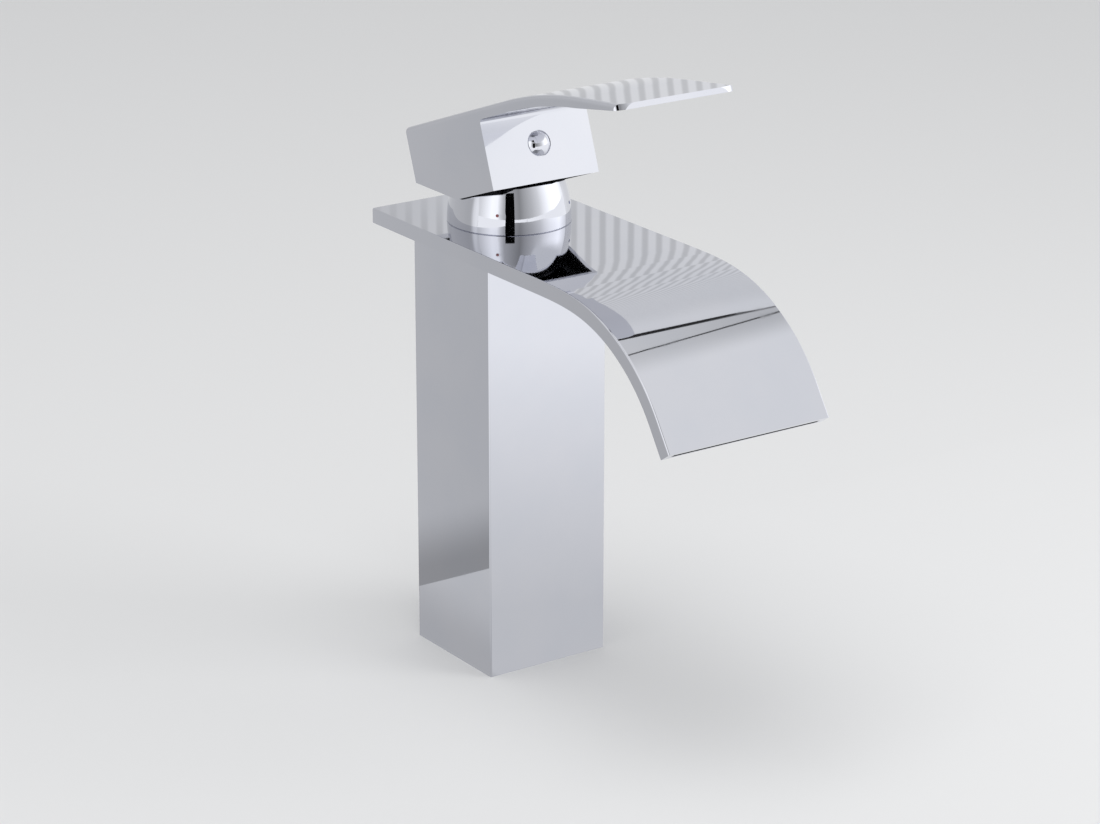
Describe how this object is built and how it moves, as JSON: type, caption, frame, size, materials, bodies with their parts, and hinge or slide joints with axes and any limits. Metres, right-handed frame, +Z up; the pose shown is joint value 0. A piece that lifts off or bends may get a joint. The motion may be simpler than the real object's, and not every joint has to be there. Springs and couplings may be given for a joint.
{
  "type": "waterfall basin faucet",
  "caption": "Deck-mounted single-lever basin mixer: square column, flat spout plate arching down to a waterfall lip, dome cap and flat lever that lifts and swivels.",
  "frame": {"origin": "centre of the column's foot on the deck", "axes": "+Z up the column, -Y towards the basin along the spout, +X to the cold side (right for someone who stands at the basin)"},
  "size_m": [0.0596, 0.1629, 0.2573],
  "materials": {
    "chrome_body": "polished chrome plate",
    "chrome_spout": "polished chrome plate",
    "chrome_dome": "polished chrome plate",
    "chrome_lever": "polished chrome plate",
    "chrome_plug": "polished chrome plate",
    "chrome_liner": "bright chrome plate",
    "black_rubber": "matt black rubber",
    "cast_brass": "machined cast brass",
    "copper_pipe": "drawn copper",
    "cartridge_plastic": "moulded pale grey plastic",
    "rotor_plastic": "moulded dark grey plastic",
    "ceramic": "lapped white ceramic",
    "steel": "plain steel",
    "hot_red": "red enamel",
    "cold_blue": "blue enamel"
  },
  "bodies": {
    "body": {"cartridge_base": "cartridge_plastic", "cartridge_housing": "cartridge_plastic", "clamp_nut": "steel", "clamp_stud": "steel", "cold_index_dot": "cold_blue", "cold_supply_pipe": "copper_pipe", "column_shell": "chrome_body", "dome_cap": "chrome_dome", "dome_ring": "black_rubber", "fixed_ceramic_disc": "ceramic", "foot_block": "cast_brass", "foot_gasket": "black_rubber", "hot_index_dot": "hot_red", "hot_supply_pipe": "copper_pipe", "port_seals": "black_rubber", "retaining_nut": "cast_brass", "rubber_washer": "black_rubber", "spout_liner": "chrome_liner", "spout_shell": "chrome_spout", "steel_washer": "steel", "valve_block": "cast_brass"},
    "swivel": {"cartridge_rotor": "rotor_plastic", "pivot_pin": "steel"},
    "lever": {"lever_handle": "chrome_lever", "screw_plug": "chrome_plug", "set_screw": "steel", "stem": "steel"},
    "carrier": {"disc_carrier": "rotor_plastic", "moving_ceramic_disc": "ceramic"}
  },
  "joints": [
    {"name": "temperature_swivel", "type": "hinge", "parent": "body", "child": "swivel", "pos_m": [0, 0, 0.153], "axis": [0, 0, 1], "range_deg": [-45, 45]},
    {"name": "flow_lift", "type": "hinge", "parent": "swivel", "child": "lever", "pos_m": [0, 0, 0.153], "axis": [-1, 0, 0], "range_deg": [-20, 5]},
    {"name": "disc_slide", "type": "slide", "parent": "swivel", "child": "carrier", "axis": [0, -1, 0], "range_m": [-0.0048, 0.0013]}
  ],
  "couplings": [
    {"joint": "disc_slide", "follows": "flow_lift", "m_per_rad": 0.0134}
  ]
}
